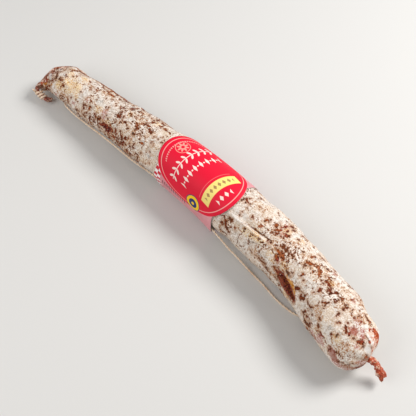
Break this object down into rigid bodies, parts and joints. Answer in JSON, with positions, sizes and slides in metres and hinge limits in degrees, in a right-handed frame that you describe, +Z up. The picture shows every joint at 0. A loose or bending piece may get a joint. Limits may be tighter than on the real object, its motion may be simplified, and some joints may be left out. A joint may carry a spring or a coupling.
{
  "type": "cured sausage",
  "caption": "Dry-cured sausage, gently bowed and bloomed with white mould, with a twisted casing tail at each end, a red paper band and a hanging loop of twine.",
  "frame": {"origin": "under the middle of the sausage with its label, on the table it lies on; measured without the twine", "axes": "+X along the sausage from the lashed end to the bare tail, +Y to the bow's outer side, +Z up"},
  "size_m": [0.2952, 0.0504, 0.035],
  "materials": {
    "casing": "dry, chalky mould bloom over brown-red casing",
    "label_paper": "satin coated paper",
    "twine": "matt twisted cotton"
  },
  "bodies": {
    "root": {"sausage": "casing", "paper_label": "label_paper", "twine_lashing": "twine", "twine": "twine"}
  },
  "joints": []
}
